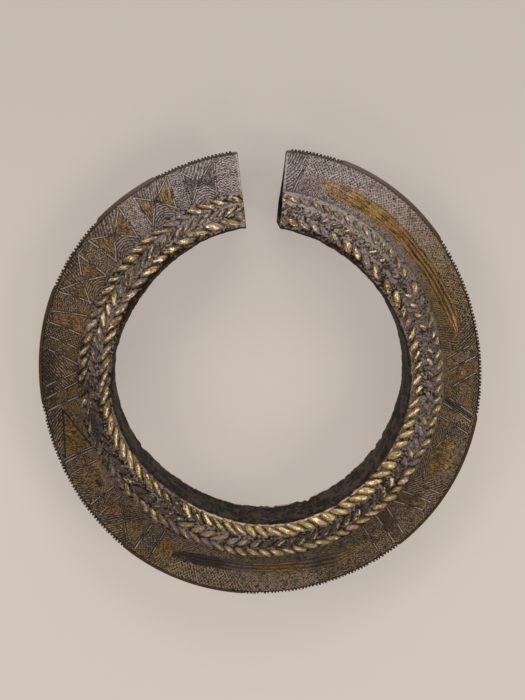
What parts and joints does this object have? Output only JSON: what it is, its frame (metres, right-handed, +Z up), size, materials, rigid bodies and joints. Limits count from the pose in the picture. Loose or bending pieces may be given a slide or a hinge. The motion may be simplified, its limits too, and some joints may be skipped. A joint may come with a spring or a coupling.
{
  "type": "hollow bangle",
  "caption": "Open cast bangle with a swollen hollow inner side, slanting leaf rows round the wrist hole and an engraved flange with a milled edge.",
  "frame": {"origin": "centre of the bounding box at the flat worn land that the bangle rests on", "axes": "+Z up along the ring's axis, +Y towards the opening between the terminals"},
  "size_m": [0.0988, 0.1006, 0.0196],
  "materials": {
    "patina_metal": "dark brown patina on cast copper alloy, golden where worn"
  },
  "bodies": {
    "root": {"bangle": "patina_metal"}
  },
  "joints": []
}
